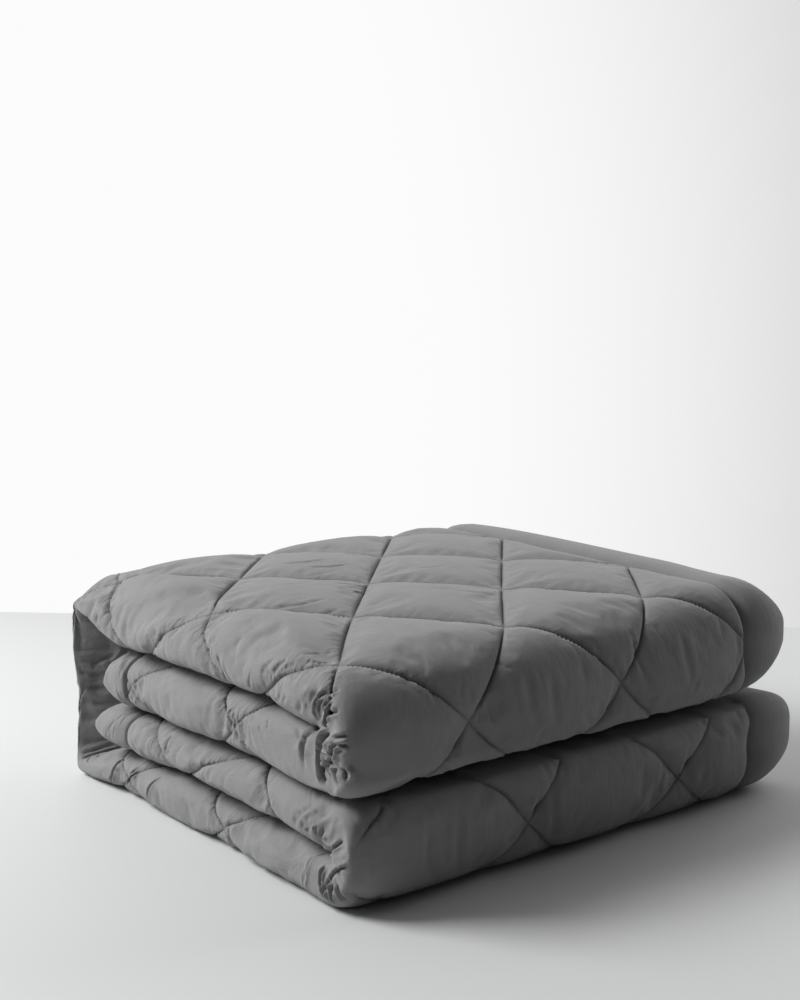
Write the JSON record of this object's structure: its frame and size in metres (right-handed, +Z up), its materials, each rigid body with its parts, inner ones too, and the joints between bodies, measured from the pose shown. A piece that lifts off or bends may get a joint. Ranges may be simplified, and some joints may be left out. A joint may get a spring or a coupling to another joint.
{
  "type": "folded comforter",
  "caption": "Diamond-quilted filled comforter folded into a thick pack with rolled fronts, rounded layer edges on one side and a wrapped back.",
  "frame": {"origin": "centre of the pack's footprint, on the surface it rests on", "axes": "+X along the folds, +Y from the two front rolls towards the wrapped back, +Z up; the rounded layer edges face -X"},
  "size_m": [0.6548, 0.6124, 0.2747],
  "materials": {
    "grey_fabric": "soft brushed matte weave, dark neutral grey"
  },
  "bodies": {
    "root": {"comforter": "grey_fabric"}
  },
  "joints": []
}
